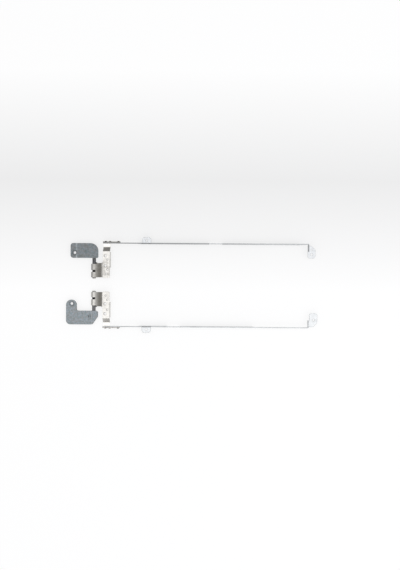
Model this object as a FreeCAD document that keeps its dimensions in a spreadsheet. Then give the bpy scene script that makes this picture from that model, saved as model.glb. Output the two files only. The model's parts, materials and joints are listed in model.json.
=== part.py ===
import FreeCAD, Part
import math
import os
import re
import Sketcher

# A pair of laptop lid hinges, laid open at 180 degrees with the screen side down.
# X runs from the base plates to the far feet, Y across the pair, Z up from the table.
# Each hinge is built about its own pin: u along X from the pin, v outward from the
# pair's centre line, w up from the pin. Side +1 is the right hinge, side -1 the left.

# Driving sizes in millimetres and degrees
SIZES = [
    # pin and friction curl
    ("shaft_radius", 1.77),
    ("running_clearance", 0.03),
    ("strip_thickness", 1.0),
    ("curl_inner", 7.3),
    ("curl_outer", 20.6),
    ("free_end_angle", 26),
    ("slot_inner", 12.5),
    ("slot_width", 2.0),
    ("slot_reach", 1.8),
    ("tongue_width", 1.5),
    # leaf of the lid bracket
    ("leaf_rise", 2.3),
    ("leaf_start", 9.5),
    ("leaf_edge", 16.3),
    ("leaf_end", 17.0),
    ("leaf_inner", 6.7),
    ("leaf_outer", 33.2),
    ("bend_radius", 0.3),
    ("ramp_bend_radius", 1.6),
    ("ramp_step", 3.0),
    ("ramp_overhang", 0.8),
    ("lip_start", 17.0),
    ("lip_depth", 3.0),
    ("leaf_corner", 1.2),
    ("flare_radius", 2.0),
    ("leaf_screw_radius", 1.15),
    ("leaf_screw_column", 12.0),
    ("leaf_screw_first", 18.8),
    ("leaf_screw_second", 28.6),
    ("pilot_radius", 0.7),
    ("pilot_column", 14.2),
    ("pilot_first", 15.0),
    ("pilot_second", 24.6),
    ("pilot_inner_column", 12.6),
    ("pilot_inner", 10.6),
    # joggle, pad and end wall
    ("joggle_run", 3.8),
    ("joggle_drop", 3.2),
    ("wall_face", 41.6),
    ("wall_end", 26.5),
    ("wing_height", 2.7),
    # rail
    ("rail_thickness", 0.8),
    ("rail_bend_radius", 0.3),
    ("rail_start", 9.6),
    ("tongue_height", 2.6),
    ("tongue_end", 17.6),
    ("strip_height", 3.3),
    ("web_start", 43.0),
    ("web_slope", 3.0),
    ("notch_length", 12.8),
    ("right_notch", 114.3),
    ("left_notch", 72.9),
    ("right_web_end", 204.0),
    ("left_web_end", 157.0),
    ("screen_hole_radius", 1.1),
    ("screen_hole_drop", 4.7),
    ("screen_hole_place", 100.0),
    ("ear_start", 48.2),
    ("ear_length", 8.8),
    ("ear_depth", 5.4),
    ("ear_corner", 2.4),
    ("ear_hole_radius", 1.2),
    ("relief_width", 0.8),
    ("relief_depth", 1.4),
    ("foot_wall", 212.0),
    ("foot_wall_width", 7.6),
    ("right_foot_setback", -0.7),
    ("right_foot_reach", 6.9),
    ("right_foot_inset", 1.9),
    ("right_foot_width", 12.4),
    ("left_foot_setback", 1.4),
    ("left_foot_reach", 9.1),
    ("left_foot_inset", 1.3),
    ("left_foot_width", 13.5),
    ("foot_slant", 4.0),
    ("foot_corner", 2.2),
    ("foot_hole_radius", 1.15),
    ("right_foot_hole_edge", 3.8),
    ("left_foot_hole_edge", 6.6),
    ("foot_hole_margin", 3.6),
    ("locating_hole_radius", 0.8),
    ("locating_hole_edge", 8.2),
    # rivets
    ("rivet_radius", 0.7),
    ("rivet_head_radius", 1.0),
    ("rivet_head_height", 0.55),
    ("rivet_clearance", 0.02),
    ("rail_rivet_drop", 1.3),
    ("rail_rivet_first", 12.2),
    ("rail_rivet_second", 16.4),
    ("rail_rivet_third", 24.6),
    ("base_rivet_radius", 0.8),
    # shaft and stop pin
    ("shaft_end", 6.0),
    ("shaft_end_bevel", 0.35),
    ("tail_start", 25.4),
    ("tail_flat", 0.5),
    ("tail_thickness", 1.4),
    ("right_tail_end", 39.4),
    ("left_tail_end", 34.8),
    ("stop_pin_radius", 0.7),
    ("stop_pin_place", 0.9),
    ("stop_pin_root", 0.3),
    ("stop_pin_tip", 3.0),
    ("stop_pin_clearance", 0.01),
    # base plates
    ("base_thickness", 1.5),
    ("base_screw_radius", 1.35),
    ("base_dish_radius", 2.6),
    ("base_dish_depth", 0.3),
    ("right_base_reach", 23.1),
    ("right_base_end", 4.2),
    ("right_base_inner", 26.5),
    ("right_base_outer", 41.1),
    ("right_base_corner", 2.5),
    ("right_base_shoulder", 7.6),
    ("right_base_heel", 1.4),
    ("right_base_screw_edge", 4.2),
    ("right_base_screw", 31.6),
    ("right_base_rivet_first", 29.6),
    ("right_base_rivet_second", 37.2),
    ("left_base_reach", 27.2),
    ("left_base_end", 4.3),
    ("left_base_inner", 25.9),
    ("left_base_outer", 39.5),
    ("left_base_corner", 4.2),
    ("left_arm_inner", 15.1),
    ("left_arm_width", 10.4),
    ("left_arm_round", 5.0),
    ("left_arm_flat", 0.2),
    ("left_elbow_radius", 1.8),
    ("left_slant_start", 31.7),
    ("left_slant_run", 5.5),
    ("left_slant_round", 2.0),
    ("left_heel", 2.0),
    ("left_base_screw_edge", 5.6),
    ("left_base_screw", 18.9),
    ("left_base_rivet_first", 28.2),
    ("left_base_rivet_second", 32.6),
    ("dent_reach", 5.3),
    ("dent_inner", 29.7),
    ("dent_length", 2.8),
    ("dent_width", 0.8),
    ("dent_depth", 0.25),
]

# Sizes that follow from the driving ones
CURL_BORE = "(shaft_radius + running_clearance)"
BARREL = "(shaft_radius + running_clearance + strip_thickness)"
LID_PLANE = f"({BARREL} + leaf_rise)"
RAMP_OUTER = "(curl_outer + ramp_overhang)"
PAD_TOP = f"({LID_PLANE} - joggle_drop)"
JOGGLE_SHIFT = "(strip_thickness * tan(atan(joggle_drop / joggle_run) / 2))"
WEB_FACE = "(wall_face - rail_thickness)"
WALL_OUTSIDE = "(wall_face + strip_thickness)"
RIVET_LINE = f"({LID_PLANE} - rail_rivet_drop)"
STOP_PIN_LINE = "(curl_outer + stop_pin_place)"
BASE_TOP = "(tail_flat + base_thickness)"
PIN_X = "((left_base_reach - foot_wall - left_foot_reach) / 2)"
EAR_REACH = "(wall_face + ear_depth)"
FOOT_WALL_INNER = "(wall_face - foot_wall_width)"

ON_AXIS = "0"
RIGHT = 1
LEFT = -1
SIDE_NAMES = {RIGHT: "right", LEFT: "left"}
NEARNESS = 0.001

doc = FreeCAD.newDocument("laptop_hinges")
sheet = doc.addObject("Spreadsheet::Sheet", "Sizes")
for row, (alias, size) in enumerate(SIZES, start=1):
    sheet.set(f"A{row}", alias)
    sheet.set(f"B{row}", str(size))
    sheet.setAlias(f"B{row}", alias)
doc.recompute()

sub_parts = []


def bind(expression):
    """The expression with the sheet's name in front of every size."""
    return re.sub(r"[a-z]+(?:_[a-z]+)+", lambda found: "Sizes." + found.group(0), expression)


def number(expression):
    """The expression's present value."""
    return float(sheet.evalExpression(bind(expression)))


def new_body(label, x=ON_AXIS, z=ON_AXIS):
    """An empty body whose origin lies on the pin, moved by x and z."""
    body = doc.addObject("PartDesign::Body", label)
    body.Label = label
    body.setExpression("Placement.Base.x", bind(f"{PIN_X} + {x}"))
    body.setExpression("Placement.Base.z", bind(f"{BARREL} + {z}"))
    sub_parts.append(body)
    return body


def new_sketch(body, name, plane, offset=ON_AXIS):
    """A sketch on one of the body's own planes, moved along the plane's normal."""
    sketch = body.newObject("Sketcher::SketchObject", name)
    support = next(item for item in body.Origin.OriginFeatures if item.Role == plane)
    sketch.AttachmentSupport = [(support, "")]
    sketch.MapMode = "FlatFace"
    sketch.setExpression("AttachmentOffset.Base.z", bind(offset))
    return sketch


def start_in_y(side, inner, outer):
    """The offset of an XZ sketch from which a length towards +Y covers inner to outer."""
    return f"-({inner})" if side == RIGHT else f"({outer})"


def fix_point(sketch, geometry, position, x, y):
    """Holds one point of a sketch at two sizes from its origin."""
    for kind, size in (("DistanceX", x), ("DistanceY", y)):
        constraint = Sketcher.Constraint(kind, -1, 1, geometry, position, number(size))
        index = sketch.addConstraint(constraint)
        sketch.setExpression(f"Constraints[{index}]", bind(size))


def fix_radius(sketch, geometry, radius):
    """Holds the radius of a circle or arc."""
    index = sketch.addConstraint(Sketcher.Constraint("Radius", geometry, number(radius)))
    sketch.setExpression(f"Constraints[{index}]", bind(radius))


def add_outline(sketch, corners):
    """A closed outline of straight lines through corners given as pairs of sizes."""
    points = [FreeCAD.Vector(number(x), number(y), 0) for x, y in corners]
    count = len(points)
    for index in range(count):
        sketch.addGeometry(Part.LineSegment(points[index], points[(index + 1) % count]), False)
    for index in range(count):
        sketch.addConstraint(Sketcher.Constraint("Coincident", index, 2, (index + 1) % count, 1))
    for index, (x, y) in enumerate(corners):
        fix_point(sketch, index, 1, x, y)


def add_rectangle(sketch, left, right, bottom, top):
    """A closed outline with sides along the sketch's axes."""
    add_outline(sketch, [(left, bottom), (right, bottom), (right, top), (left, top)])


def add_circle(sketch, x, y, radius):
    """A circle at a fixed place."""
    circle = Part.Circle(FreeCAD.Vector(number(x), number(y), 0), FreeCAD.Vector(0, 0, 1), number(radius))
    geometry = sketch.addGeometry(circle, False)
    fix_point(sketch, geometry, 3, x, y)
    fix_radius(sketch, geometry, radius)


def add_arc(sketch, centre, radius, start, end):
    """An arc from one angle to another, counter-clockwise, angles in radians."""
    circle = Part.Circle(FreeCAD.Vector(*centre, 0), FreeCAD.Vector(0, 0, 1), radius)
    return sketch.addGeometry(Part.ArcOfCircle(circle, start, end), False)


def add_line(sketch, start, end):
    """A line between two places."""
    return sketch.addGeometry(Part.LineSegment(FreeCAD.Vector(*start, 0), FreeCAD.Vector(*end, 0)), False)


def pad(body, sketch, length, reverse=False):
    """Adds a sketch's outline to the body as a solid of a given length."""
    feature = body.newObject("PartDesign::Pad", f"{sketch.Name}_pad")
    feature.Profile = sketch
    feature.setExpression("Length", bind(length))
    feature.Reversed = reverse
    doc.recompute()
    return feature


def pocket(body, sketch, depth, reverse=False):
    """Cuts a sketch's outline out of the body and makes sure that something was cut."""
    before = body.Shape.Volume
    feature = body.newObject("PartDesign::Pocket", f"{sketch.Name}_pocket")
    feature.Profile = sketch
    feature.setExpression("Length", bind(depth))
    feature.Reversed = reverse
    doc.recompute()
    if not body.Shape.Volume < before:
        raise RuntimeError(f"{sketch.Name} cuts nothing")
    return feature


def round_edges(body, name, radius, places):
    """Rounds the straight edges whose middles lie at the given places; None stands for any value."""
    names = []
    base = body.Tip
    for index, edge in enumerate(base.Shape.Edges, start=1):
        if not isinstance(edge.Curve, Part.Line):
            continue
        middle = edge.CenterOfMass
        run = edge.tangentAt(edge.FirstParameter)
        for direction, x, y, z in places:
            along = abs(getattr(run, direction)) > 1 - NEARNESS
            wanted = zip((x, y, z), middle)
            if along and all(size is None or abs(number(size) - at) < NEARNESS for size, at in wanted):
                names.append(f"Edge{index}")
    if len(names) < len(places):
        raise RuntimeError(f"{name} finds {len(names)} edges for {len(places)} places")
    add_fillet(body, name, radius, base, names)


def add_fillet(body, name, radius, base, names):
    """Rounds named edges of the body's last feature."""
    fillet = body.newObject("PartDesign::Fillet", name)
    fillet.Base = (base, names)
    fillet.setExpression("Radius", bind(radius))
    doc.recompute()
    if "Invalid" in fillet.State or not fillet.Shape.isValid():
        raise RuntimeError(f"{name} can't be rounded")


def bevel_rim(body, name, size, rim_axis, rim_place):
    """Bevels the round edges that lie at one place along an axis."""
    base = body.Tip
    names = [
        f"Edge{index}" for index, edge in enumerate(base.Shape.Edges, start=1)
        if isinstance(edge.Curve, Part.Circle)
        and abs(getattr(edge.CenterOfMass, rim_axis) - number(rim_place)) < NEARNESS
    ]
    bevel = body.newObject("PartDesign::Chamfer", name)
    bevel.Base = (base, names)
    bevel.setExpression("Size", bind(size))
    doc.recompute()
    if "Invalid" in bevel.State or not bevel.Shape.isValid():
        raise RuntimeError(f"{name} can't be bevelled")


def add_curl_profile(sketch):
    """Side view of the leaf, the ramp and the curl round the shaft, as one bent strip."""
    thickness = number("strip_thickness")
    bore = number(CURL_BORE)
    barrel = number(BARREL)
    bend = number("ramp_bend_radius")
    rise = number("leaf_rise")
    start = number("leaf_start")
    slope = 2 * math.atan2(rise, start)
    ramp = start / math.sin(slope) - bend - thickness
    ramp_centre = (0, barrel + ramp)
    bend_centre = (start, barrel + rise - thickness - bend)
    top = math.pi / 2
    bottom = 3 * math.pi / 2
    free_end = 2 * math.pi - math.radians(number("free_end_angle"))
    leaf_top = barrel + rise
    leaf_bottom = leaf_top - thickness
    join = number("leaf_end - strip_thickness")
    free_x = math.cos(free_end)
    free_y = math.sin(free_end)

    curl_out = add_arc(sketch, (0, 0), barrel, top, free_end)
    curl_in = add_arc(sketch, (0, 0), bore, top, free_end)
    ramp_out = add_arc(sketch, ramp_centre, ramp, bottom, bottom + slope)
    ramp_in = add_arc(sketch, ramp_centre, ramp + thickness, bottom, bottom + slope)
    bend_out = add_arc(sketch, bend_centre, bend + thickness, top, top + slope)
    bend_in = add_arc(sketch, bend_centre, bend, top, top + slope)
    line_top = add_line(sketch, (start, leaf_top), (join, leaf_top))
    line_end = add_line(sketch, (join, leaf_top), (join, leaf_bottom))
    line_bottom = add_line(sketch, (join, leaf_bottom), (start, leaf_bottom))
    line_free = add_line(sketch, (barrel * free_x, barrel * free_y), (bore * free_x, bore * free_y))

    for arc in (curl_out, curl_in):
        sketch.addConstraint(Sketcher.Constraint("Coincident", arc, 3, -1, 1))
    sketch.addConstraint(Sketcher.Constraint("Coincident", ramp_in, 3, ramp_out, 3))
    sketch.addConstraint(Sketcher.Constraint("Coincident", bend_in, 3, bend_out, 3))
    sketch.addConstraint(Sketcher.Constraint("PointOnObject", ramp_out, 3, -2))
    for curl, ramp_arc, bend_arc in ((curl_out, ramp_out, bend_out), (curl_in, ramp_in, bend_in)):
        sketch.addConstraint(Sketcher.Constraint("Tangent", curl, 1, ramp_arc, 1))
        sketch.addConstraint(Sketcher.Constraint("Tangent", ramp_arc, 2, bend_arc, 2))
    sketch.addConstraint(Sketcher.Constraint("Tangent", bend_out, 1, line_top, 1))
    sketch.addConstraint(Sketcher.Constraint("Tangent", bend_in, 1, line_bottom, 2))
    sketch.addConstraint(Sketcher.Constraint("Coincident", line_top, 2, line_end, 1))
    sketch.addConstraint(Sketcher.Constraint("Coincident", line_end, 2, line_bottom, 1))
    sketch.addConstraint(Sketcher.Constraint("Horizontal", line_top))
    sketch.addConstraint(Sketcher.Constraint("Horizontal", line_bottom))
    sketch.addConstraint(Sketcher.Constraint("Vertical", line_end))
    sketch.addConstraint(Sketcher.Constraint("Coincident", curl_out, 2, line_free, 1))
    sketch.addConstraint(Sketcher.Constraint("Coincident", curl_in, 2, line_free, 2))
    sketch.addConstraint(Sketcher.Constraint("PointOnObject", -1, 1, line_free))
    fix_radius(sketch, curl_out, BARREL)
    fix_radius(sketch, curl_in, CURL_BORE)
    fix_radius(sketch, bend_in, "ramp_bend_radius")
    fix_point(sketch, line_top, 1, "leaf_start", LID_PLANE)
    free_drop = f"-{BARREL} * sin(free_end_angle)"
    for kind, geometry, position, size in (
        ("DistanceX", line_end, 1, "leaf_end - strip_thickness"),
        ("DistanceY", line_free, 1, free_drop),
    ):
        constraint = Sketcher.Constraint(kind, -1, 1, geometry, position, number(size))
        index = sketch.addConstraint(constraint)
        sketch.setExpression(f"Constraints[{index}]", bind(size))


def add_flare_outline(sketch, side):
    """Plan of what is cut beside the curl: the ramp overhangs it by a step and flares into the leaf."""
    radius = number("flare_radius")
    curl_edge = side * number("curl_outer")
    ramp_edge = side * number(RAMP_OUTER)
    middle = (number("leaf_start - flare_radius"), side * number(f"{RAMP_OUTER} + flare_radius"))
    outer = side * number(f"{RAMP_OUTER} + 2 * flare_radius")
    back = number(f"-2 * {BARREL}")
    step = number("ramp_step")
    front = number("leaf_start")
    quarter = math.pi / 2
    if side == RIGHT:
        flare = add_arc(sketch, middle, radius, 3 * quarter, 4 * quarter)
        at_ramp, at_leaf = 1, 2
    else:
        flare = add_arc(sketch, middle, radius, 0, quarter)
        at_ramp, at_leaf = 2, 1
    along_curl = add_line(sketch, (back, curl_edge), (step, curl_edge))
    step_side = add_line(sketch, (step, curl_edge), (step, ramp_edge))
    along_ramp = add_line(sketch, (step, ramp_edge), (middle[0], ramp_edge))
    along_leaf = add_line(sketch, (front, middle[1]), (front, outer))
    far_side = add_line(sketch, (front, outer), (back, outer))
    back_side = add_line(sketch, (back, outer), (back, curl_edge))
    sketch.addConstraint(Sketcher.Constraint("Tangent", along_ramp, 2, flare, at_ramp))
    sketch.addConstraint(Sketcher.Constraint("Tangent", flare, at_leaf, along_leaf, 1))
    for before, after in (
        (along_curl, step_side),
        (step_side, along_ramp),
        (along_leaf, far_side),
        (far_side, back_side),
        (back_side, along_curl),
    ):
        sketch.addConstraint(Sketcher.Constraint("Coincident", before, 2, after, 1))
    for line in (along_curl, along_ramp, far_side):
        sketch.addConstraint(Sketcher.Constraint("Horizontal", line))
    for line in (step_side, along_leaf, back_side):
        sketch.addConstraint(Sketcher.Constraint("Vertical", line))
    fix_radius(sketch, flare, "flare_radius")
    fix_point(sketch, flare, 3, "leaf_start - flare_radius", f"{side} * ({RAMP_OUTER} + flare_radius)")
    fix_point(sketch, far_side, 2, f"-2 * {BARREL}", f"{side} * ({RAMP_OUTER} + 2 * flare_radius)")
    fix_point(sketch, step_side, 1, "ramp_step", f"{side} * curl_outer")


def add_tongue_profile(sketch):
    """Side view of the stop tongue: the last stretch of the curl, from its lowest line to the free end."""
    bore = number(CURL_BORE)
    barrel = number(BARREL)
    low = 3 * math.pi / 2
    free_end = 2 * math.pi - math.radians(number("free_end_angle"))
    outside = add_arc(sketch, (0, 0), barrel, low, free_end)
    inside = add_arc(sketch, (0, 0), bore, low, free_end)
    root = add_line(sketch, (0, -barrel), (0, -bore))
    end = add_line(
        sketch,
        (barrel * math.cos(free_end), barrel * math.sin(free_end)),
        (bore * math.cos(free_end), bore * math.sin(free_end)),
    )
    for arc, position in ((outside, 1), (inside, 2)):
        sketch.addConstraint(Sketcher.Constraint("Coincident", arc, 3, -1, 1))
        sketch.addConstraint(Sketcher.Constraint("Coincident", arc, 1, root, position))
        sketch.addConstraint(Sketcher.Constraint("Coincident", arc, 2, end, position))
    sketch.addConstraint(Sketcher.Constraint("PointOnObject", root, 1, -2))
    sketch.addConstraint(Sketcher.Constraint("PointOnObject", root, 2, -2))
    sketch.addConstraint(Sketcher.Constraint("PointOnObject", -1, 1, end))
    fix_radius(sketch, outside, BARREL)
    fix_radius(sketch, inside, CURL_BORE)
    free_drop = f"-{BARREL} * sin(free_end_angle)"
    constraint = Sketcher.Constraint("DistanceY", -1, 1, end, 1, number(free_drop))
    index = sketch.addConstraint(constraint)
    sketch.setExpression(f"Constraints[{index}]", bind(free_drop))


def make_lid_bracket(side):
    """One folded strip: half-lipped leaf, ramp, slotted curl, stop tongue, joggle, pad and end wall."""
    body = new_body(f"{SIDE_NAMES[side]}_lid_bracket")

    leaf_end_line = "leaf_outer - strip_thickness"
    leaf = new_sketch(body, "lipped_leaf", "XZ_Plane", start_in_y(side, "lip_start", leaf_end_line))
    under_leaf = f"{LID_PLANE} - strip_thickness"
    under_lip = f"{LID_PLANE} - lip_depth"
    add_outline(leaf, [
        ("leaf_start", LID_PLANE),
        ("leaf_end", LID_PLANE),
        ("leaf_end", under_lip),
        ("leaf_end - strip_thickness", under_lip),
        ("leaf_end - strip_thickness", under_leaf),
        ("leaf_start", under_leaf),
    ])
    pad(body, leaf, f"{leaf_end_line} - lip_start", reverse=True)
    round_edges(body, "lip_inside", "bend_radius", [
        ("y", "leaf_end - strip_thickness", None, under_leaf),
    ])
    round_edges(body, "lip_outside", "bend_radius + strip_thickness", [
        ("y", "leaf_end", None, LID_PLANE),
    ])
    flat_leaf = new_sketch(body, "flat_leaf", "XZ_Plane", start_in_y(side, "leaf_inner", "lip_start"))
    add_rectangle(flat_leaf, "leaf_start", "leaf_edge", under_leaf, LID_PLANE)
    pad(body, flat_leaf, "lip_start - leaf_inner", reverse=True)
    round_edges(body, "leaf_corners", "leaf_corner", [
        ("z", "leaf_start", f"{side} * leaf_inner", None),
        ("z", "leaf_edge", f"{side} * leaf_inner", None),
    ])

    flare_end = f"{RAMP_OUTER} + flare_radius"
    curl = new_sketch(body, "curl", "XZ_Plane", start_in_y(side, "curl_inner", flare_end))
    add_curl_profile(curl)
    pad(body, curl, f"{flare_end} - curl_inner", reverse=True)
    flare = new_sketch(body, "ramp_flare", "XY_Plane", LID_PLANE)
    add_flare_outline(flare, side)
    pocket(body, flare, f"{LID_PLANE} + 2 * {BARREL}")

    tongue_end = "curl_outer + tongue_width"
    tongue = new_sketch(body, "stop_tongue", "XZ_Plane", start_in_y(side, "curl_outer", tongue_end))
    add_tongue_profile(tongue)
    pad(body, tongue, "tongue_width", reverse=True)

    slot = new_sketch(body, "curl_slot", "XY_Plane")
    slot_sides = (f"{side} * slot_inner", f"{side} * (slot_inner + slot_width)")
    add_rectangle(slot, f"-2 * {BARREL}", "slot_reach", *slot_sides)
    pocket(body, slot, LID_PLANE, reverse=True)
    low_slot = new_sketch(body, "curl_slot_below", "XY_Plane")
    add_rectangle(low_slot, f"-2 * {BARREL}", f"2 * {BARREL}", *slot_sides)
    pocket(body, low_slot, f"2 * {BARREL}")

    joggle = new_sketch(body, "joggle", "YZ_Plane", "leaf_start")
    under_pad = f"{PAD_TOP} - strip_thickness"
    profile = [
        (leaf_end_line, LID_PLANE),
        ("leaf_outer", LID_PLANE),
        ("leaf_outer + joggle_run", PAD_TOP),
        ("wall_face", PAD_TOP),
        ("wall_face", LID_PLANE),
        (WALL_OUTSIDE, LID_PLANE),
        (WALL_OUTSIDE, under_pad),
        (f"leaf_outer + joggle_run - {JOGGLE_SHIFT}", under_pad),
        (f"leaf_outer - {JOGGLE_SHIFT}", under_leaf),
        (leaf_end_line, under_leaf),
    ]
    add_outline(joggle, [(f"{side} * ({y})", z) for y, z in profile])
    pad(body, joggle, "leaf_edge - leaf_start")

    wall_start = start_in_y(side, "wall_face", WALL_OUTSIDE)
    wing = new_sketch(body, "wall_wing", "XZ_Plane", wall_start)
    wing_bottom = f"{LID_PLANE} - wing_height"
    add_rectangle(wing, "leaf_edge - strip_thickness", "wall_end", wing_bottom, LID_PLANE)
    pad(body, wing, "strip_thickness", reverse=True)
    round_edges(body, "joggle_inside", "bend_radius", [
        ("x", None, f"{side} * (leaf_outer + joggle_run)", PAD_TOP),
        ("x", None, f"{side} * (leaf_outer - {JOGGLE_SHIFT})", under_leaf),
        ("x", None, f"{side} * wall_face", PAD_TOP),
    ])
    round_edges(body, "joggle_outside", "bend_radius + strip_thickness", [
        ("x", None, f"{side} * leaf_outer", LID_PLANE),
        ("x", None, f"{side} * (leaf_outer + joggle_run - {JOGGLE_SHIFT})", under_pad),
        ("x", None, f"{side} * ({WALL_OUTSIDE})", under_pad),
    ])

    holes = new_sketch(body, "leaf_holes", "XY_Plane", LID_PLANE)
    for place in ("leaf_screw_first", "leaf_screw_second"):
        add_circle(holes, "leaf_screw_column", f"{side} * {place}", "leaf_screw_radius")
    for place in ("pilot_first", "pilot_second"):
        add_circle(holes, "pilot_column", f"{side} * {place}", "pilot_radius")
    add_circle(holes, "pilot_inner_column", f"{side} * pilot_inner", "pilot_radius")
    pocket(body, holes, "strip_thickness")
    rivet_holes = new_sketch(body, "wall_rivet_holes", "XZ_Plane", wall_start)
    for place in ("rail_rivet_first", "rail_rivet_second", "rail_rivet_third"):
        add_circle(rivet_holes, place, RIVET_LINE, "rivet_radius + rivet_clearance")
    pocket(body, rivet_holes, "strip_thickness")


def make_screen_rail(side):
    """One folded strip on edge: riveted tongue, notched web, near ear and far foot."""
    name = SIDE_NAMES[side]
    body = new_body(f"{name}_screen_rail")
    notch = f"{name}_notch"
    web_end = f"{name}_web_end"
    strip_bottom = f"{LID_PLANE} - strip_height"
    tongue_bottom = f"{LID_PLANE} - tongue_height"
    table = f"-{BARREL}"
    ear_end = "ear_start + ear_length"

    web = new_sketch(body, "web", "XZ_Plane", start_in_y(side, WEB_FACE, "wall_face"))
    add_outline(web, [
        ("rail_start", LID_PLANE),
        ("rail_start", tongue_bottom),
        ("tongue_end", tongue_bottom),
        ("tongue_end", strip_bottom),
        ("web_start", strip_bottom),
        ("web_start + web_slope", table),
        (notch, table),
        (notch, strip_bottom),
        (f"{notch} + notch_length", strip_bottom),
        (f"{notch} + notch_length", table),
        (web_end, table),
        (f"{web_end} + web_slope", strip_bottom),
        ("foot_wall + rail_thickness", strip_bottom),
        ("foot_wall + rail_thickness", LID_PLANE),
        (f"{ear_end} + relief_width", LID_PLANE),
        (f"{ear_end} + relief_width", f"{LID_PLANE} - relief_depth"),
        (ear_end, f"{LID_PLANE} - relief_depth"),
        (ear_end, LID_PLANE),
        ("ear_start", LID_PLANE),
        ("ear_start", f"{LID_PLANE} - relief_depth"),
        ("ear_start - relief_width", f"{LID_PLANE} - relief_depth"),
        ("ear_start - relief_width", LID_PLANE),
    ])
    pad(body, web, "rail_thickness", reverse=True)

    ear = new_sketch(body, "near_ear", "XY_Plane", LID_PLANE)
    add_rectangle(ear, "ear_start", ear_end, f"{side} * {WEB_FACE}", f"{side} * {EAR_REACH}")
    pad(body, ear, "rail_thickness", reverse=True)
    round_edges(body, "ear_corners", "ear_corner", [
        ("z", "ear_start", f"{side} * {EAR_REACH}", None),
        ("z", ear_end, f"{side} * {EAR_REACH}", None),
    ])
    ear_middle = "ear_start + ear_length / 2"
    under_ear = f"{LID_PLANE} - rail_thickness"
    round_edges(body, "ear_bend_inside", "rail_bend_radius", [
        ("x", ear_middle, f"{side} * wall_face", under_ear),
    ])
    round_edges(body, "ear_bend_outside", "rail_bend_radius + rail_thickness", [
        ("x", ear_middle, f"{side} * {WEB_FACE}", LID_PLANE),
    ])

    cross = new_sketch(body, "foot_cross_wall", "YZ_Plane", "foot_wall")
    add_rectangle(cross, f"{side} * {FOOT_WALL_INNER}", f"{side} * wall_face", strip_bottom, LID_PLANE)
    pad(body, cross, "rail_thickness")
    foot = new_sketch(body, "foot", "XY_Plane", LID_PLANE)
    foot_start = f"foot_wall + {name}_foot_setback"
    foot_end = f"foot_wall + {name}_foot_reach"
    foot_outer = f"(wall_face - {name}_foot_inset)"
    foot_inner = f"({foot_outer} - {name}_foot_width)"
    foot_outline = [
        ("foot_wall", foot_outer),
        ("foot_wall", FOOT_WALL_INNER),
        (foot_start, FOOT_WALL_INNER),
        (foot_start, foot_inner),
        (foot_end, foot_inner),
        (foot_end, f"{foot_outer} - foot_slant"),
        (f"{foot_end} - foot_slant", foot_outer),
    ]
    add_outline(foot, [(x, f"{side} * ({y})") for x, y in foot_outline])
    pad(body, foot, "rail_thickness", reverse=True)
    round_edges(body, "foot_corners", "foot_corner", [
        ("z", foot_start, f"{side} * {foot_inner}", None),
        ("z", foot_end, f"{side} * {foot_inner}", None),
        ("z", foot_end, f"{side} * ({foot_outer} - foot_slant)", None),
    ])
    round_edges(body, "foot_turn_inside", "rail_bend_radius", [
        ("z", "foot_wall", f"{side} * {WEB_FACE}", None),
    ])
    round_edges(body, "foot_turn_outside", "rail_bend_radius + rail_thickness", [
        ("z", "foot_wall + rail_thickness", f"{side} * wall_face", None),
    ])

    flat_holes = new_sketch(body, "flat_holes", "XY_Plane", LID_PLANE)
    ear_hole = f"({EAR_REACH} + {WEB_FACE}) / 2"
    foot_column = f"{foot_end} - foot_hole_margin"
    add_circle(flat_holes, ear_middle, f"{side} * {ear_hole}", "ear_hole_radius")
    foot_hole = f"{foot_inner} + {name}_foot_hole_edge"
    add_circle(flat_holes, foot_column, f"{side} * ({foot_hole})", "foot_hole_radius")
    if side == RIGHT:
        locating_hole = f"{foot_inner} + locating_hole_edge"
        add_circle(flat_holes, foot_column, f"{side} * ({locating_hole})", "locating_hole_radius")
    pocket(body, flat_holes, "rail_thickness")
    web_holes = new_sketch(body, "web_holes", "XZ_Plane", start_in_y(side, WEB_FACE, "wall_face"))
    add_circle(web_holes, "screen_hole_place", f"{LID_PLANE} - screen_hole_drop", "screen_hole_radius")
    for place in ("rail_rivet_first", "rail_rivet_second", "rail_rivet_third"):
        add_circle(web_holes, place, RIVET_LINE, "rivet_radius + rivet_clearance")
    pocket(body, web_holes, "rail_thickness")


def make_rail_rivets(side):
    """Three rivets through the rail's tongue and the end wall, headed outside and flush inside."""
    places = ("rail_rivet_first", "rail_rivet_second", "rail_rivet_third")
    for count, place in enumerate(places, start=1):
        body = new_body(f"{SIDE_NAMES[side]}_rail_rivet_{count}", place, RIVET_LINE)
        low = f"{side} * {WEB_FACE}"
        high = f"{side} * {WALL_OUTSIDE}"
        add_rivet(body, "XY_Plane", [
            (ON_AXIS, low),
            ("rivet_radius", low),
            ("rivet_radius", high),
            ("rivet_head_radius", high),
            ("rivet_head_radius", f"{high} + {side} * rivet_head_height"),
            (ON_AXIS, f"{high} + {side} * rivet_head_height"),
        ])


def make_base_rivets(side):
    """Two rivets through the base plate and the shaft's tail, ground flush at both ends."""
    name = SIDE_NAMES[side]
    for count, place in enumerate(("first", "second"), start=1):
        body = new_body(f"{name}_base_rivet_{count}")
        body.setExpression("Placement.Base.y", bind(f"{side} * {name}_base_rivet_{place}"))
        tail_bottom = "tail_flat - tail_thickness"
        add_rivet(body, "XZ_Plane", [
            (ON_AXIS, tail_bottom),
            ("base_rivet_radius", tail_bottom),
            ("base_rivet_radius", BASE_TOP),
            (ON_AXIS, BASE_TOP),
        ])


def add_rivet(body, plane, half):
    """Turns the half section of a rivet about its sketch's upright axis."""
    sketch = new_sketch(body, f"{body.Name}_half", plane)
    add_outline(sketch, half)
    feature = body.newObject("PartDesign::Revolution", f"{body.Name}_turned")
    feature.Profile = sketch
    feature.ReferenceAxis = (sketch, ["V_Axis"])
    feature.Angle = 360
    doc.recompute()


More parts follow.
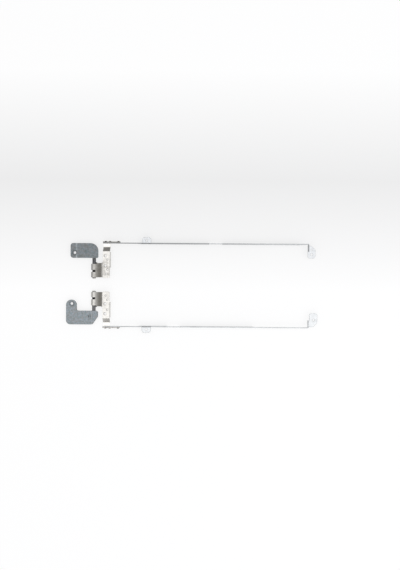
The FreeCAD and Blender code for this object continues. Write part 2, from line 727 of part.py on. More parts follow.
def make_shaft(side):
    """Round shaft with a bevelled end, a cross hole for the stop pin and a tail milled flat."""
    name = SIDE_NAMES[side]
    tail_end = f"{name}_tail_end"
    body = new_body(f"{name}_shaft")
    journal = new_sketch(body, f"{name}_journal", "XZ_Plane", start_in_y(side, "shaft_end", tail_end))
    add_circle(journal, ON_AXIS, ON_AXIS, "shaft_radius")
    pad(body, journal, f"{tail_end} - shaft_end", reverse=True)
    bevel_rim(body, f"{name}_shaft_bevel", "shaft_end_bevel", "y", f"{side} * shaft_end")
    tail_sides = (f"{side} * tail_start", f"{side} * ({tail_end} + shaft_radius)")
    top_flat = new_sketch(body, f"{name}_tail_top", "XY_Plane", "tail_flat")
    add_rectangle(top_flat, "-2 * shaft_radius", "2 * shaft_radius", *tail_sides)
    pocket(body, top_flat, "2 * shaft_radius", reverse=True)
    low_flat = new_sketch(body, f"{name}_tail_bottom", "XY_Plane", "tail_flat - tail_thickness")
    add_rectangle(low_flat, "-2 * shaft_radius", "2 * shaft_radius", *tail_sides)
    pocket(body, low_flat, "2 * shaft_radius")
    rivet_holes = new_sketch(body, f"{name}_tail_holes", "XY_Plane", "tail_flat")
    for place in ("first", "second"):
        height = f"{side} * {name}_base_rivet_{place}"
        add_circle(rivet_holes, ON_AXIS, height, "base_rivet_radius + rivet_clearance")
    pocket(body, rivet_holes, "tail_thickness")
    cross_hole = new_sketch(body, f"{name}_pin_hole", "YZ_Plane", "stop_pin_root")
    place = f"{side} * {STOP_PIN_LINE}"
    add_circle(cross_hole, place, ON_AXIS, "stop_pin_radius + stop_pin_clearance")
    pocket(body, cross_hole, "2 * shaft_radius", reverse=True)


def make_stop_pin(side):
    """Short dowel that stands out of the shaft and meets the stop tongue when the hinge is fully open."""
    name = SIDE_NAMES[side]
    body = new_body(f"{name}_stop_pin")
    sketch = new_sketch(body, f"{name}_dowel", "YZ_Plane", "stop_pin_root")
    add_circle(sketch, f"{side} * {STOP_PIN_LINE}", ON_AXIS, "stop_pin_radius")
    pad(body, sketch, "stop_pin_tip - stop_pin_root")


def finish_base_plate(body, side):
    """The screw hole with its dished rim and the two rivet holes that every base plate has."""
    name = SIDE_NAMES[side]
    reach = f"{name}_base_screw_edge - {name}_base_reach"
    place = f"{side} * {name}_base_screw"
    dish = new_sketch(body, f"{name}_base_dish", "XY_Plane", BASE_TOP)
    add_circle(dish, reach, place, "base_dish_radius")
    pocket(body, dish, "base_dish_depth")
    holes = new_sketch(body, f"{name}_base_holes", "XY_Plane", BASE_TOP)
    add_circle(holes, reach, place, "base_screw_radius")
    for count in ("first", "second"):
        height = f"{side} * {name}_base_rivet_{count}"
        add_circle(holes, ON_AXIS, height, "base_rivet_radius + rivet_clearance")
    pocket(body, holes, "base_thickness")


def make_right_base_plate():
    """Plain plate with rounded corners and one large shoulder over the shaft's end."""
    body = new_body("right_base_plate")
    sketch = new_sketch(body, "right_base_outline", "XY_Plane", "tail_flat")
    add_rectangle(sketch, "-right_base_reach", "right_base_end", "right_base_inner", "right_base_outer")
    pad(body, sketch, "base_thickness")
    round_edges(body, "right_base_corners", "right_base_corner", [
        ("z", "-right_base_reach", "right_base_inner", None),
        ("z", "-right_base_reach", "right_base_outer", None),
    ])
    round_edges(body, "right_base_shoulder_round", "right_base_shoulder", [
        ("z", "right_base_end", "right_base_outer", None),
    ])
    round_edges(body, "right_base_heel_round", "right_base_heel", [
        ("z", "right_base_end", "right_base_inner", None),
    ])
    finish_base_plate(body, RIGHT)


def make_left_base_plate():
    """J-shaped plate: an arm with a round end that carries the screw hole, and a slanted shoulder."""
    body = new_body("left_base_plate")
    sketch = new_sketch(body, "left_base_outline", "XY_Plane", "tail_flat")
    arm_side = "left_arm_width - left_base_reach"
    corners = [
        ("-left_base_reach", "left_arm_inner"),
        (arm_side, "left_arm_inner"),
        (arm_side, "left_base_inner"),
        ("left_base_end", "left_base_inner"),
        ("left_base_end", "left_slant_start"),
        ("left_base_end - left_slant_run", "left_base_outer"),
        ("-left_base_reach", "left_base_outer"),
    ]
    add_outline(sketch, [(x, f"{LEFT} * {y}") for x, y in corners])
    pad(body, sketch, "base_thickness")
    # the round end keeps at least a short flat between its two arcs
    arm_round = "min(left_arm_round; (left_arm_width - left_arm_flat) / 2)"
    round_edges(body, "left_arm_end", arm_round, [
        ("z", "-left_base_reach", "-left_arm_inner", None),
        ("z", arm_side, "-left_arm_inner", None),
    ])
    round_edges(body, "left_elbow", "left_elbow_radius", [("z", arm_side, "-left_base_inner", None)])
    round_edges(body, "left_base_corner_round", "left_base_corner", [
        ("z", "-left_base_reach", "-left_base_outer", None),
    ])
    round_edges(body, "left_slant_corners", "left_slant_round", [
        ("z", "left_base_end", "-left_slant_start", None),
        ("z", "left_base_end - left_slant_run", "-left_base_outer", None),
    ])
    round_edges(body, "left_heel_round", "left_heel", [("z", "left_base_end", "-left_base_inner", None)])
    finish_base_plate(body, LEFT)
    dent = new_sketch(body, "left_dent", "XY_Plane", BASE_TOP)
    dent_end = f"{LEFT} * (dent_inner + dent_length)"
    add_outline(dent, [
        ("-dent_reach", f"{LEFT} * dent_inner"),
        ("dent_width - dent_reach", dent_end),
        ("-dent_reach", dent_end),
    ])
    pocket(body, dent, "dent_depth")


for hinge_side in (RIGHT, LEFT):
    make_lid_bracket(hinge_side)
    make_screen_rail(hinge_side)
    make_rail_rivets(hinge_side)
    make_shaft(hinge_side)
    make_stop_pin(hinge_side)
    make_base_rivets(hinge_side)
make_right_base_plate()
make_left_base_plate()
doc.recompute()

for item in doc.Objects:
    if "Invalid" in item.State or "Error" in item.State:
        raise RuntimeError(f"{item.Name} did not build: {item.State}")
for body in sub_parts:
    if body.Shape.isNull() or not body.Shape.isValid() or len(body.Shape.Solids) != 1:
        raise RuntimeError(f"{body.Label} is not one sound solid")

os.makedirs("parts", exist_ok=True)
for body in sub_parts:
    body.Shape.exportStep(os.path.join("parts", f"{body.Label}.step"))
    print(f"{body.Label}: {body.Shape.Volume:.2f} mm3")
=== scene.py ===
import bpy
import functools
import json
import math
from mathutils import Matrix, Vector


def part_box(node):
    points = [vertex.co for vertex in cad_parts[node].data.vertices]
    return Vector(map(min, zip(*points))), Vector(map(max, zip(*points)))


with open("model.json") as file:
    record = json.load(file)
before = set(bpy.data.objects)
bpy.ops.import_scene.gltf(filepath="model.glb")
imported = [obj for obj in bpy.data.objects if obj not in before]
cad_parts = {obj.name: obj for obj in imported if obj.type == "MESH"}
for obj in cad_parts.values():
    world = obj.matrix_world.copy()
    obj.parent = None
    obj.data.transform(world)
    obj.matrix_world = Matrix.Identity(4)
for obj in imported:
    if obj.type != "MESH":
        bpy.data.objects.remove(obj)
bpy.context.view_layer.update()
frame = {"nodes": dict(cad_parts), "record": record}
nodes = frame["nodes"]
mounts = {mount["name"]: mount for mount in frame["record"]["mounts"]}
scene = bpy.context.scene
scene.view_settings.view_transform = "Standard"
mm = 0.001
print("frame loaded:", len(nodes), "pieces")

# where the pin axis and the sheets stand, in millimetres, read from the frame
shaftLow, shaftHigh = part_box("right_shaft")
pinX = (shaftLow.x + shaftHigh.x) / 2 / mm
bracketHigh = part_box("right_lid_bracket")[1]
wallOutside = bracketHigh.y / mm
lidTop = bracketHigh.z / mm
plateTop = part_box("right_base_plate")[1].z / mm
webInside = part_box("right_rail_rivet_1")[0].y / mm  # the rivets end flush with the web


def linear(hexColour):
    parts = [int(hexColour[at:at + 2], 16) / 255 for at in (1, 3, 5)]
    return [p / 12.92 if p <= 0.04045 else ((p + 0.055) / 1.055) ** 2.4 for p in parts] + [1.0]


# inputs go by name or by place; a Mix takes its share at 0, numbers at 2 and 3, colours at 6 and 7
def addNode(tree, kind, inputs=(), **settings):
    node = tree.nodes.new("ShaderNode" + kind)
    for name, value in settings.items():
        setattr(node, name, value)
    pairs = inputs.items() if isinstance(inputs, dict) else enumerate(inputs)
    for key, value in pairs:
        if isinstance(value, bpy.types.Node):
            value = next(socket for socket in value.outputs if socket.enabled)
        if isinstance(value, bpy.types.NodeSocket):
            tree.links.new(value, node.inputs[key])
        else:
            node.inputs[key].default_value = value
    return node


def startMaterial(name):
    material = bpy.data.materials.new(name)
    material.use_nodes = True
    material.node_tree.nodes.clear()
    add = functools.partial(addNode, material.node_tree)
    coords = add("TexCoord").outputs["Object"]
    # pattern sizes below are millimetres, so the metres of the frame are scaled up
    inMm = add("VectorMath", {0: coords, "Scale": 1 / mm}, operation="SCALE")
    return material, add, inMm


def wear(add, inMm, patchMm, seed, detail=4.0):
    # soft cloudy field from 0 to 1, patches about patchMm across
    moved = add("VectorMath", [inMm, (seed, seed * 1.7, seed * 2.3)], operation="ADD")
    return add("TexNoise", {"Vector": moved, "Scale": 1 / patchMm, "Detail": detail, "Roughness": 0.55})


def stretchedGrain(add, inMm, lineMm, stretch):
    # fine lines, pulled out along the axes where stretch is small
    pulled = add("VectorMath", [inMm, stretch], operation="MULTIPLY")
    return add("TexNoise", {"Vector": pulled, "Scale": 1 / lineMm, "Detail": 3.0})


def spanShare(add, value, low, high, soft):
    # 1 between low and high, fading out over soft
    rise = add("MapRange", [value, low - soft, low])
    fall = add("MapRange", [value, high + soft, high])
    return add("Math", [rise, fall], operation="MULTIPLY")


def edgeShare(add, widthMm):
    # how near a cut edge is: the rounded normal leaves the face's own there
    rounded = add("Bevel", {"Radius": widthMm * mm}, samples=6)
    faceNormal = add("NewGeometry").outputs["Normal"]
    agree = add("VectorMath", [rounded, faceNormal], operation="DOT_PRODUCT")
    return add("MapRange", [agree, 0.99, 0.80])


# camera: straight above the pair, image taken as 400 x 570
view = {"overX": 8.45, "overY": 0.35, "height": 540.0, "rollDegrees": 0.4,
        "pixelsTall": 570, "mmPerPixel": 1.0, "sensorMm": 36.0, "clipStart": 0.01}
cameraData = bpy.data.cameras.new("photoCamera")
cameraData.sensor_width = view["sensorMm"]
cameraData.lens = view["sensorMm"] * view["height"] / (view["pixelsTall"] * view["mmPerPixel"])
cameraData.clip_start = view["clipStart"]
camera = bpy.data.objects.new("photoCamera", cameraData)
camera.location = (view["overX"] * mm, view["overY"] * mm, view["height"] * mm)
camera.rotation_euler.z = math.radians(view["rollDegrees"])  # the pair lies a touch askew in the photo
scene.collection.objects.link(camera)
scene.camera = camera
print("camera set, lens", round(cameraData.lens, 2))

# floor: one pale sheet that keeps the shadow
floorSizes = {"side": 6.0, "below": 0.00005, "colour": "#8F8F90",
              "shadeBandY": 105, "shadeBandMm": 110, "shadeBandLift": 0.62, "whiteLift": 0.77}


def makeFloor():
    half = floorSizes["side"] / 2
    mesh = bpy.data.meshes.new("floor")
    corners = [(-half, -half, 0), (half, -half, 0), (half, half, 0), (-half, half, 0)]
    mesh.from_pydata(corners, [], [(0, 1, 2, 3)])
    floor = bpy.data.objects.new("floor", mesh)
    floor.location.z = -floorSizes["below"]
    scene.collection.objects.link(floor)
    material, add, inMm = startMaterial("palePaperFloor")
    paper = add("BsdfDiffuse", {"Color": linear(floorSizes["colour"])})
    path = add("LightPath").outputs
    seen = add("Math", [path["Is Camera Ray"], path["Is Glossy Ray"]], operation="MAXIMUM")
    seen = add("Math", [seen, path["Is Transmission Ray"]], operation="MAXIMUM")
    # white paper with one faint band of painted shade across it, behind the pair
    alongY = add("SeparateXYZ", [inMm]).outputs["Y"]
    offShadeBand = add("Math", [alongY, floorSizes["shadeBandY"]], operation="SUBTRACT")
    offShadeBand = add("Math", [offShadeBand], operation="ABSOLUTE")
    lifts = (floorSizes["shadeBandLift"], floorSizes["whiteLift"])
    level = add("MapRange", [offShadeBand, 0.0, floorSizes["shadeBandMm"], *lifts])
    lift = add("Emission", {"Strength": add("Math", [seen, level], operation="MULTIPLY")})
    add("OutputMaterial", {"Surface": add("AddShader", [paper, lift])})
    mesh.materials.append(material)


makeFloor()

# light: one wide softbox overhead, towards the lower right of the photo, and a grey room
lights = {"boxSide": 1.4, "boxHeight": 1.05, "boxShiftX": 0.25, "boxShiftY": -0.2, "boxWatts": 4.8,
          "roomTurn": 0.8, "roomDark": 0.46, "roomPale": 0.98, "roomSeen": 1.25}


def makeLights():
    lamp = bpy.data.lights.new("softbox", "AREA")
    lamp.shape = "SQUARE"
    lamp.size = lights["boxSide"]
    lamp.energy = lights["boxWatts"]
    softbox = bpy.data.objects.new("softbox", lamp)
    boxX = camera.location.x + lights["boxShiftX"]
    boxY = camera.location.y + lights["boxShiftY"]
    softbox.location = (boxX, boxY, lights["boxHeight"])
    softbox.visible_camera = False
    scene.collection.objects.link(softbox)

    world = bpy.data.worlds.new("greyRoom")
    scene.world = world
    world.use_nodes = True
    world.node_tree.nodes.clear()
    add = functools.partial(addNode, world.node_tree)
    axes = add("SeparateXYZ", [add("TexCoord").outputs["Generated"]])
    # the room is paler towards -Y
    turn = lights["roomTurn"]
    level = add("MapRange", [axes.outputs["Y"], turn, -turn, lights["roomDark"], lights["roomPale"]])
    strength = add("Mix", {0: add("LightPath").outputs["Is Camera Ray"], 2: level, 3: lights["roomSeen"]})
    room = add("Background", {"Strength": strength})
    add("OutputWorld", {"Surface": room})


makeLights()
print("floor and light set")

# nickel-plated steel, plated after folding: a bright warm skin, cloudy where it was handled
nickel = {"plate": "#E4E2DE", "cloud": "#B2AFAA", "brownShade": "#88857E", "flankShade": "#5E5B57",
          "shear": "#6A6763", "padSheen": "#F4F2EE", "roughness": 0.24, "roughSpread": 0.05,
          "patchMm": 2.6, "cloudBand": (0.36, 0.66), "cloudRough": 0.18,
          "cleanFrom": 28.0, "handledTo": 20.0, "cleanShare": 0.3,
          "brightTo": -0.4, "brightFade": 1.2, "brightShare": 0.1,
          "brownShadeFull": 5.5, "brownShadeFade": 0.4, "brownShadePatchMm": 1.4, "brownShadeBand": (0.3, 0.7),
          "brownShadeLeast": 0.75, "brownShadeRough": 0.14, "flankFade": 0.15,
          "slopeFrom": 33.2, "slopeTo": 37.3, "slopeFade": 0.3, "slopeRough": 0.42,
          "markTo": 39.6, "markLeast": 0.4, "padFade": 0.4, "padSheenRough": -0.08,
          "edgeMm": 0.4, "edgeMost": 0.55,
          "wallDepth": 1.1, "wallFade": 0.2, "wallPatchMm": 2.5, "wallBand": (0.40, 0.62),
          "lineMm": 0.35, "lineBump": 0.18,
          "rimShadeIn": 0.3, "rimShadeOut": 0.35, "rimShadeFade": 0.2, "rimShadeMost": 0.9, "rimShadeLeast": 0.3,
          # punched holes of the leaf: along X from the pin, outward along Y, radius
          "holes": [(12.0, 18.8, 1.15), (12.0, 28.6, 1.15), (14.2, 15.0, 0.7), (14.2, 24.6, 0.7),
                    (12.6, 10.6, 0.7)]}


def makeNickel(name, look):
    material, add, inMm = startMaterial(name)
    seed = look["seed"]
    axes = add("SeparateXYZ", [inMm]).outputs
    fromPin = add("Math", [axes["X"], pinX], operation="SUBTRACT")
    outward = add("Math", [axes["Y"]], operation="ABSOLUTE")
    # fingers clouded it most near the curl, and the right hinge's heavier cloud is painted shade too; the
    # back of the curl is kept nearly clear of cloud as a painted highlight
    clouds = wear(add, inMm, nickel["patchMm"], seed)
    cloud = add("MapRange", [clouds, *nickel["cloudBand"], 0.0, look["cloudShare"]])
    handled = add("MapRange", [outward, nickel["cleanFrom"], nickel["handledTo"], nickel["cleanShare"], 1.0])
    brightEnd = nickel["brightTo"] + nickel["brightFade"]
    curlHighlight = add("MapRange", [fromPin, nickel["brightTo"], brightEnd, nickel["brightShare"], 1.0])
    for less in (handled, curlHighlight):
        cloud = add("Math", [cloud, less], operation="MULTIPLY")
    # the pad beside the end wall is painted paler, a painted highlight of its flat face
    padSheen = add("MapRange", [outward, nickel["slopeTo"], nickel["slopeTo"] + nickel["padFade"]])
    # curl and ramp carry a brownish painted shade, thicker towards the leaf, for the shade of the curl's side
    # and the sloping ramp
    brownShade = add("MapRange", [fromPin, look["brownShadeFrom"], nickel["brownShadeFull"]])
    fade = nickel["brownShadeFade"]
    stop = add("MapRange", [fromPin, look["brownShadeTo"] + fade, look["brownShadeTo"] - fade])
    brownShadePatches = wear(add, inMm, nickel["brownShadePatchMm"], seed + 4, 3.0)
    patchy = add("MapRange", [brownShadePatches, *nickel["brownShadeBand"], nickel["brownShadeLeast"], 1.0])
    for less in (stop, patchy):
        brownShade = add("Math", [brownShade, less], operation="MULTIPLY")
    # the outer flank of the curl is painted dark, painted shade where its side turns under
    flankEnd = look["flankFrom"] - nickel["flankFade"]
    flankShade = add("MapRange", [fromPin, look["flankFrom"], flankEnd, 0.0, look["flankShare"]])
    # the joggle's slope is painted dark, heaviest at the leaf, with a tail on the pad: painted shade of the
    # slope, heavier on the right hinge
    slope = spanShare(add, outward, nickel["slopeFrom"], nickel["slopeTo"], nickel["slopeFade"])
    least = look["slopeShare"] * nickel["markLeast"]
    slopeShade = add("MapRange", [outward, nickel["slopeFrom"], nickel["slopeTo"], look["slopeShare"], least])
    start = add("MapRange", [outward, nickel["slopeFrom"] - nickel["slopeFade"], nickel["slopeFrom"]])
    tail = add("MapRange", [outward, nickel["markTo"], nickel["slopeTo"]])
    for less in (start, tail):
        slopeShade = add("Math", [slopeShade, less], operation="MULTIPLY")
    # each punched hole has painted shade on its wall and rim, more on the side towards the pin
    rimShades = []
    plan = add("CombineXYZ", [fromPin, outward])
    facings = (nickel["rimShadeMost"], nickel["rimShadeLeast"])
    for holeX, holeY, radius in nickel["holes"]:
        away = add("VectorMath", [plan, (holeX, holeY, 0.0)], operation="DISTANCE")
        ring = spanShare(add, away, radius - nickel["rimShadeIn"], radius + nickel["rimShadeOut"], nickel["rimShadeFade"])
        facing = add("MapRange", [fromPin, holeX - radius, holeX + radius, *facings])
        rimShades.append(add("Math", [ring, facing], operation="MULTIPLY"))
    # every cut edge shows sheared steel
    edge = add("Math", [edgeShare(add, nickel["edgeMm"]), nickel["edgeMost"]], operation="MULTIPLY")
    # the marks lie over the plating in this order
    layers = [(cloud, "cloud"), (padSheen, "padSheen"), (brownShade, "brownShade"), (flankShade, "flankShade"), (slopeShade, "brownShade")]
    layers += [(rimShade, "brownShade") for rimShade in rimShades] + [(edge, "shear")]
    colour = linear(nickel["plate"])
    for share, tint in layers:
        colour = add("Mix", {0: share, 6: colour, 7: linear(nickel[tint])}, data_type="RGBA")
    # the riveted end wall is painted grey and blotched, painted shade of the upright wall, darker on the
    # right hinge
    blotch = add("MapRange", [wear(add, inMm, nickel["wallPatchMm"], seed + 7, 2.0), *nickel["wallBand"]])
    wallPair = {6: linear(look["wallGrey"]), 7: linear(look["wallDark"])}
    wallShade = add("Mix", {0: blotch, **wallPair}, data_type="RGBA")
    wallFrom = wallOutside - nickel["wallDepth"]
    wall = add("MapRange", [outward, wallFrom, wallFrom + nickel["wallFade"]])
    colour = add("Mix", {0: wall, 6: colour, 7: wallShade}, data_type="RGBA")
    # rolling lines along the strip, drawn about three times coarser than real so that they show
    lines = stretchedGrain(add, inMm, nickel["lineMm"], (0.08, 1.0, 1.0))
    middle, spread = nickel["roughness"], nickel["roughSpread"]
    rough = add("MapRange", [lines, 0.3, 0.7, middle - spread, middle + spread])
    for share, part in ((cloud, "cloud"), (brownShade, "brownShade"), (padSheen, "padSheen"), (slope, "slope")):
        rough = add("Math", [share, nickel[part + "Rough"], rough], operation="MULTIPLY_ADD")
    bump = add("Bump", {"Height": lines, "Strength": nickel["lineBump"], "Distance": 0.02 * mm})
    shader = add("BsdfPrincipled", {"Base Color": colour, "Metallic": 1.0, "Roughness": rough,
                                    "Normal": bump})
    add("OutputMaterial", {"Surface": shader})
    return material


# zinc-plated steel strip, slit and folded: cool and bright on its faces, grey along its slit edges
zinc = {"cloud": "#C8CBCE", "slit": "#8A8C8E", "streak": "#86888A", "roughness": 0.30, "roughSpread": 0.06,
        "patchMm": 3.5, "cloudBand": (0.42, 0.70), "cloudMost": 0.55,
        "spangleMm": 1.1, "spangleMost": 0.12, "spangleRough": 0.08, "edgeMm": 0.75,
        "sheet": 0.8, "sheetFade": 0.1, "footWall": 212.0, "footWallInside": 34.0, "footWallFade": 0.2,
        "notchMm": 12.8, "notchFade": 0.2, "topFrom": 0.3, "topFull": 0.1,
        "webShadeMost": 80.0, "webShadeLeast": 180.0, "leastShare": 0.3,
        "lineMm": 0.4, "lineBump": 0.15, "streakBand": (0.42, 0.68), "streakMost": 0.7}


def makeZinc(name, look):
    material, add, inMm = startMaterial(name)
    axes = add("SeparateXYZ", [inMm]).outputs
    fromPin = add("Math", [axes["X"], pinX], operation="SUBTRACT")
    outward = add("Math", [axes["Y"]], operation="ABSOLUTE")
    clouds = wear(add, inMm, zinc["patchMm"], look["seed"])
    cloud = add("MapRange", [clouds, *zinc["cloudBand"], 0.0, zinc["cloudMost"]])
    # faint spangle of the plating
    spangle = add("TexVoronoi", {"Vector": inMm, "Scale": 1 / zinc["spangleMm"]}).outputs["Color"]
    grey = add("SeparateColor", [spangle]).outputs[0]
    faint = add("Math", [grey, zinc["spangleMost"]], operation="MULTIPLY")
    edge = edgeShare(add, zinc["edgeMm"])
    colour = linear(look["zinc"])
    for share, tint in ((cloud, "cloud"), (faint, "cloud"), (edge, "slit")):
        colour = add("Mix", {0: share, 6: colour, 7: linear(zinc[tint])}, data_type="RGBA")
    # web and foot wall stand on edge and are painted darker: the grey of their slit edges and painted shade
    # of their upright faces, darker on the right hinge
    web = spanShare(add, outward, webInside, webInside + zinc["sheet"], zinc["sheetFade"])
    cross = spanShare(add, fromPin, zinc["footWall"], zinc["footWall"] + zinc["sheet"], zinc["sheetFade"])
    inside = zinc["footWallInside"]
    beyond = add("MapRange", [outward, inside - zinc["footWallFade"], inside])
    cross = add("Math", [cross, beyond], operation="MULTIPLY")
    # the top edge above the notch is left out of the painted shade, so it stays bright
    notchEnd = look["notch"] + zinc["notchMm"]
    notch = spanShare(add, fromPin, look["notch"], notchEnd, zinc["notchFade"])
    top = add("MapRange", [axes["Z"], lidTop - zinc["topFrom"], lidTop - zinc["topFull"]])
    bright = add("Math", [notch, top], operation="MULTIPLY")
    shadeAllowed = add("Math", [1.0, bright], operation="SUBTRACT")
    # and the painted shade grows less towards the far end
    fading = add("MapRange", [fromPin, zinc["webShadeMost"], zinc["webShadeLeast"], 1.0, zinc["leastShare"]])
    for less in (shadeAllowed, fading):
        web = add("Math", [web, less], operation="MULTIPLY")
    upright = add("Math", [web, cross], operation="MAXIMUM")
    # streaks run along the rail in it, drawn about three times coarser than real so that they show
    lines = stretchedGrain(add, inMm, zinc["lineMm"], (0.06, 1.0, 1.0))
    streak = add("MapRange", [lines, *zinc["streakBand"], 0.0, zinc["streakMost"]])
    uprightShade = add("Mix", {0: streak, 6: linear(look["web"]), 7: linear(zinc["streak"])}, data_type="RGBA")
    colour = add("Mix", {0: upright, 6: colour, 7: uprightShade}, data_type="RGBA")
    middle, spread = zinc["roughness"], zinc["roughSpread"]
    rough = add("MapRange", [lines, 0.3, 0.7, middle - spread, middle + spread])
    rough = add("Math", [grey, zinc["spangleRough"], rough], operation="MULTIPLY_ADD")
    bump = add("Bump", {"Height": lines, "Strength": zinc["lineBump"], "Distance": 0.02 * mm})
    shader = add("BsdfPrincipled", {"Base Color": colour, "Metallic": 1.0, "Roughness": rough,
                                    "Normal": bump})
    add("OutputMaterial", {"Surface": shader})
    return material


# phosphated steel, dipped after blanking: a dull crystalline grey, mottled, darker at the cut edge
phosphate = {"cool": "#DCEBE9", "warm": "#F2E8DF", "dark": "#4E5256", "scuff": "#C6CBCE",
             "roughness": 0.52, "roughSpread": 0.08, "ior": 1.6,
             "patchMm": 1.6, "mottleBand": (0.44, 0.60),
             "crystalMm": 0.35, "crystalBand": (0.40, 0.80), "crystalMost": 0.25, "crystalBump": 0.25,
             "edgeMm": 0.5, "edgeMost": 0.85,
             "dishRadius": 2.6, "dishFade": 0.25, "shadeSideFrom": -0.4, "shadeSideTo": 1.6, "shadeSideLeast": 0.1,
             "dentFloor": 0.27, "dentTop": 0.15, "dentFade": 0.04, "dentDarkShare": 0.95,
             "smearMm": 3.4, "smearFull": 0.6, "smearBand": (0.38, 0.58),
             "rubFade": 0.5, "rubBand": (0.36, 0.56), "rubMost": 0.65}


def makePhosphate(name, look, screw):
    material, add, inMm = startMaterial(name)
    seed = look["seed"]
    patchMm = phosphate["patchMm"]
    screwX, screwY = screw["pos_m"][0] / mm, screw["pos_m"][1] / mm
    axes = add("SeparateXYZ", [inMm]).outputs
    colour = linear(look["plateGrey"])
    for tint, shift in (("cool", 0), ("warm", 5)):
        mottle = add("MapRange", [wear(add, inMm, patchMm, seed + shift), *phosphate["mottleBand"]])
        colour = add("Mix", {0: mottle, 6: colour, 7: linear(phosphate[tint])}, data_type="RGBA",
                     blend_type="MULTIPLY")
    # crystals of the coat, drawn some ten times coarser than real so that the grain shows
    crystal = wear(add, inMm, phosphate["crystalMm"], seed + 2, 3.0)
    grain = add("MapRange", [crystal, *phosphate["crystalBand"], 0.0, phosphate["crystalMost"]])
    # the dish round the screw hole is darkened: bruised by the screw's head, with painted shade of the hole's
    # rim heavier on the side towards the pin
    hole = add("CombineXYZ", [screwX, screwY, axes["Z"]])
    away = add("VectorMath", [inMm, hole], operation="DISTANCE")
    radius, fade = phosphate["dishRadius"], phosphate["dishFade"]
    dish = add("MapRange", [away, radius + fade, radius - fade])
    sides = (screwX + phosphate["shadeSideFrom"], screwX + phosphate["shadeSideTo"])
    least = look["bruiseAndShade"] * phosphate["shadeSideLeast"]
    side = add("MapRange", [axes["X"], *sides, least, look["bruiseAndShade"]])
    bruiseAndShade = add("Math", [dish, side], operation="MULTIPLY")
    # a dent below the top face is painted dark
    dent = (plateTop - phosphate["dentFloor"], plateTop - phosphate["dentTop"])
    sunk = spanShare(add, axes["Z"], *dent, phosphate["dentFade"])
    dentDark = add("Math", [sunk, phosphate["dentDarkShare"]], operation="MULTIPLY")
    # and a dark smear lies over the shaft's tail beside it
    middle = add("CombineXYZ", [pinX + look["smearX"], look["smearY"], axes["Z"]])
    near = add("VectorMath", [inMm, middle], operation="DISTANCE")
    smear = add("MapRange", [near, phosphate["smearMm"], phosphate["smearFull"], 0.0, look["smear"]])
    patchy = add("MapRange", [wear(add, inMm, patchMm, seed + 9, 2.0), *phosphate["smearBand"]])
    smear = add("Math", [smear, patchy], operation="MULTIPLY")
    rim = add("Math", [edgeShare(add, phosphate["edgeMm"]), phosphate["edgeMost"]], operation="MULTIPLY")
    for mark in (dentDark, smear):
        rim = add("Math", [rim, mark], operation="MAXIMUM")
    # one pale rub mark across the plate
    rubX = pinX + look["rub"]
    rub = spanShare(add, axes["X"], rubX - look["rubHalf"], rubX + look["rubHalf"], phosphate["rubFade"])
    gaps = wear(add, inMm, patchMm, seed + 7, 2.0)
    broken = add("MapRange", [gaps, *phosphate["rubBand"], 0.0, phosphate["rubMost"]])
    scuff = add("Math", [rub, broken], operation="MULTIPLY")
    for share, tint in ((grain, "dark"), (bruiseAndShade, "dark"), (rim, "dark"), (scuff, "scuff")):
        colour = add("Mix", {0: share, 6: colour, 7: linear(phosphate[tint])}, data_type="RGBA")
    dull, spread = phosphate["roughness"], phosphate["roughSpread"]
    rough = add("MapRange", [crystal, 0.3, 0.7, dull - spread, dull + spread])
    bump = add("Bump", {"Height": crystal, "Strength": phosphate["crystalBump"], "Distance": 0.03 * mm})
    shader = add("BsdfPrincipled", {"Base Color": colour, "Roughness": rough, "IOR": phosphate["ior"],
                                    "Normal": bump})
    add("OutputMaterial", {"Surface": shader})
    return material


# black-oxide steel, turned then blued: dark, with a thin oily gloss along the turning and a bright faced end
oxide = {"curlShade": "#202022", "worn": "#86847F", "bareEnd": "#B4B2AE", "roughness": 0.34, "roughSpread": 0.08,
         "patchMm": 1.2, "wornBand": (0.52, 0.75), "wornMost": 0.3, "edgeMm": 0.25, "edgeMost": 0.6,
         "bareTo": 6.9, "bareFade": 0.2, "curlFrom": 7.5, "curlTo": 20.6, "curlFade": 0.3,
         "turnMm": 0.3, "turnBump": 0.25}


def makeOxide(name, look):
    material, add, inMm = startMaterial(name)
    outward = add("Math", [add("SeparateXYZ", [inMm]).outputs["Y"]], operation="ABSOLUTE")
    patches = wear(add, inMm, oxide["patchMm"], look["seed"])
    patch = add("MapRange", [patches, *oxide["wornBand"], 0.0, oxide["wornMost"]])
    edge = add("Math", [edgeShare(add, oxide["edgeMm"]), oxide["edgeMost"]], operation="MULTIPLY")
    rub = add("Math", [patch, edge], operation="MAXIMUM")
    # painted shade where the curl wraps the shaft, near black like the slot, and bare steel at the end that
    # was faced off after bluing
    insideCurl = spanShare(add, outward, oxide["curlFrom"], oxide["curlTo"], oxide["curlFade"])
    bareTo, fade = oxide["bareTo"], oxide["bareFade"]
    faced = add("MapRange", [outward, bareTo + fade, bareTo - fade])
    colour = linear(look["neck"])
    for share, tint in ((rub, "worn"), (insideCurl, "curlShade"), (faced, "bareEnd")):
        colour = add("Mix", {0: share, 6: colour, 7: linear(oxide[tint])}, data_type="RGBA")
    turned = stretchedGrain(add, inMm, oxide["turnMm"], (0.1, 1.0, 0.1))
    middle, spread = oxide["roughness"], oxide["roughSpread"]
    rough = add("MapRange", [turned, 0.3, 0.7, middle - spread, middle + spread])
    bump = add("Bump", {"Height": turned, "Strength": oxide["turnBump"], "Distance": 0.02 * mm})
    shader = add("BsdfPrincipled", {"Base Color": colour, "Metallic": 1.0, "Roughness": rough,
                                    "Normal": bump})
    add("OutputMaterial", {"Surface": shader})
    return material


# steel rivets, headed cold: the heads burnish where the tool rolled over them
rivet = {"railHead": "#3A3836", "railFlush": "#9C9A96", "railRub": "#77746F", "baseRub": "#A4A8AA",
         "roughness": 0.38, "roughSpread": 0.1, "grainMm": 0.3, "grainBump": 0.3,
         "burnishBand": (0.45, 0.75), "burnishMost": 0.5, "edgeMm": 0.2, "edgeMost": 0.5,
         "flushTo": 0.1, "headFrom": 0.3}


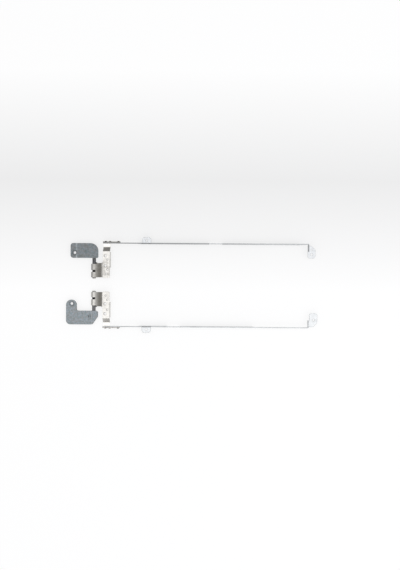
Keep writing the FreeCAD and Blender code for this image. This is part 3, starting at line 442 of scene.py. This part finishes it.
def makeRivetSteel(name, head, flush, rub, metallic, seed):
    material, add, inMm = startMaterial(name)
    # dark formed head outside the wall, end ground flush inside it
    outward = add("Math", [add("SeparateXYZ", [inMm]).outputs["Y"]], operation="ABSOLUTE")
    inside = add("MapRange", [outward, webInside + rivet["headFrom"], webInside + rivet["flushTo"]])
    body = add("Mix", {0: inside, 6: linear(head), 7: linear(flush)}, data_type="RGBA")
    grain = wear(add, inMm, rivet["grainMm"], seed, 3.0)
    burnish = add("MapRange", [grain, *rivet["burnishBand"], 0.0, rivet["burnishMost"]])
    edge = add("Math", [edgeShare(add, rivet["edgeMm"]), rivet["edgeMost"]], operation="MULTIPLY")
    share = add("Math", [burnish, edge], operation="MAXIMUM")
    colour = add("Mix", {0: share, 6: body, 7: linear(rub)}, data_type="RGBA")
    middle, spread = rivet["roughness"], rivet["roughSpread"]
    rough = add("MapRange", [grain, 0.3, 0.7, middle - spread, middle + spread])
    bump = add("Bump", {"Height": grain, "Strength": rivet["grainBump"], "Distance": 0.02 * mm})
    shader = add("BsdfPrincipled", {"Base Color": colour, "Metallic": metallic, "Roughness": rough,
                                    "Normal": bump})
    add("OutputMaterial", {"Surface": shader})
    return material


# how the two hinges differ: the right one is darker throughout, painted shade for the less light it gets,
# also carried by its larger cloud, flank, slope and bruise shares
# lengths are along X from the pin, apart from smearY; rub is where the scuff crosses the base plate
hinges = {
    "right": {"seed": 3.0, "cloudShare": 0.8, "brownShadeFrom": -2.0, "brownShadeTo": 8.0,
              "flankFrom": -1.6, "flankShare": 1.0, "slopeShare": 0.6,
              "wallGrey": "#86847F", "wallDark": "#5E5C59",
              "zinc": "#DADCDF", "web": "#8E9092", "notch": 114.3, "plateGrey": "#8E949B",
              "bruiseAndShade": 1.0, "rub": -17.2, "rubHalf": 0.4, "neck": "#5C5C5E",
              "smear": 0.15, "smearX": -8.0, "smearY": 33.0},
    "left": {"seed": 21.0, "cloudShare": 0.4, "brownShadeFrom": 1.0, "brownShadeTo": 8.8,
             "flankFrom": -1.6, "flankShare": 0.5, "slopeShare": 0.14,
             "wallGrey": "#AAA8A4", "wallDark": "#84817E",
             "zinc": "#DEE0E2", "web": "#C2C4C6", "notch": 72.9, "plateGrey": "#A8B0B9",
             "bruiseAndShade": 0.5, "rub": -2.0, "rubHalf": 0.0, "neck": "#707072",
             "smear": 0.6, "smearX": -3.4, "smearY": -31.4},
}


def dress(nodeName, material):
    nodes[nodeName].data.materials.clear()
    nodes[nodeName].data.materials.append(material)


for side, look in hinges.items():
    seed = look["seed"]
    dress(side + "_lid_bracket", makeNickel(side + "NickelPlatedSteel", look))
    dress(side + "_screen_rail", makeZinc(side + "ZincPlatedSteel", look))
    baseScrew = mounts[side + "_base_screw"]
    dress(side + "_base_plate", makePhosphate(side + "PhosphatedSteel", look, baseScrew))
    blackSteel = makeOxide(side + "BlackOxideSteel", look)
    for piece in ("shaft", "stop_pin"):
        dress(f"{side}_{piece}", blackSteel)
    railColours = (rivet["railHead"], rivet["railFlush"], rivet["railRub"])
    railSteel = makeRivetSteel(side + "RailRivetSteel", *railColours, 1.0, seed)
    for count in (1, 2, 3):
        dress(f"{side}_rail_rivet_{count}", railSteel)
    # the base rivets were phosphated with their plate, so they don't shine as metal
    baseColours = (look["plateGrey"], look["plateGrey"], rivet["baseRub"])
    baseSteel = makeRivetSteel(side + "BaseRivetSteel", *baseColours, 0.0, seed + 1)
    for count in (1, 2):
        dress(f"{side}_base_rivet_{count}", baseSteel)
print("finishes on", len(nodes), "pieces")
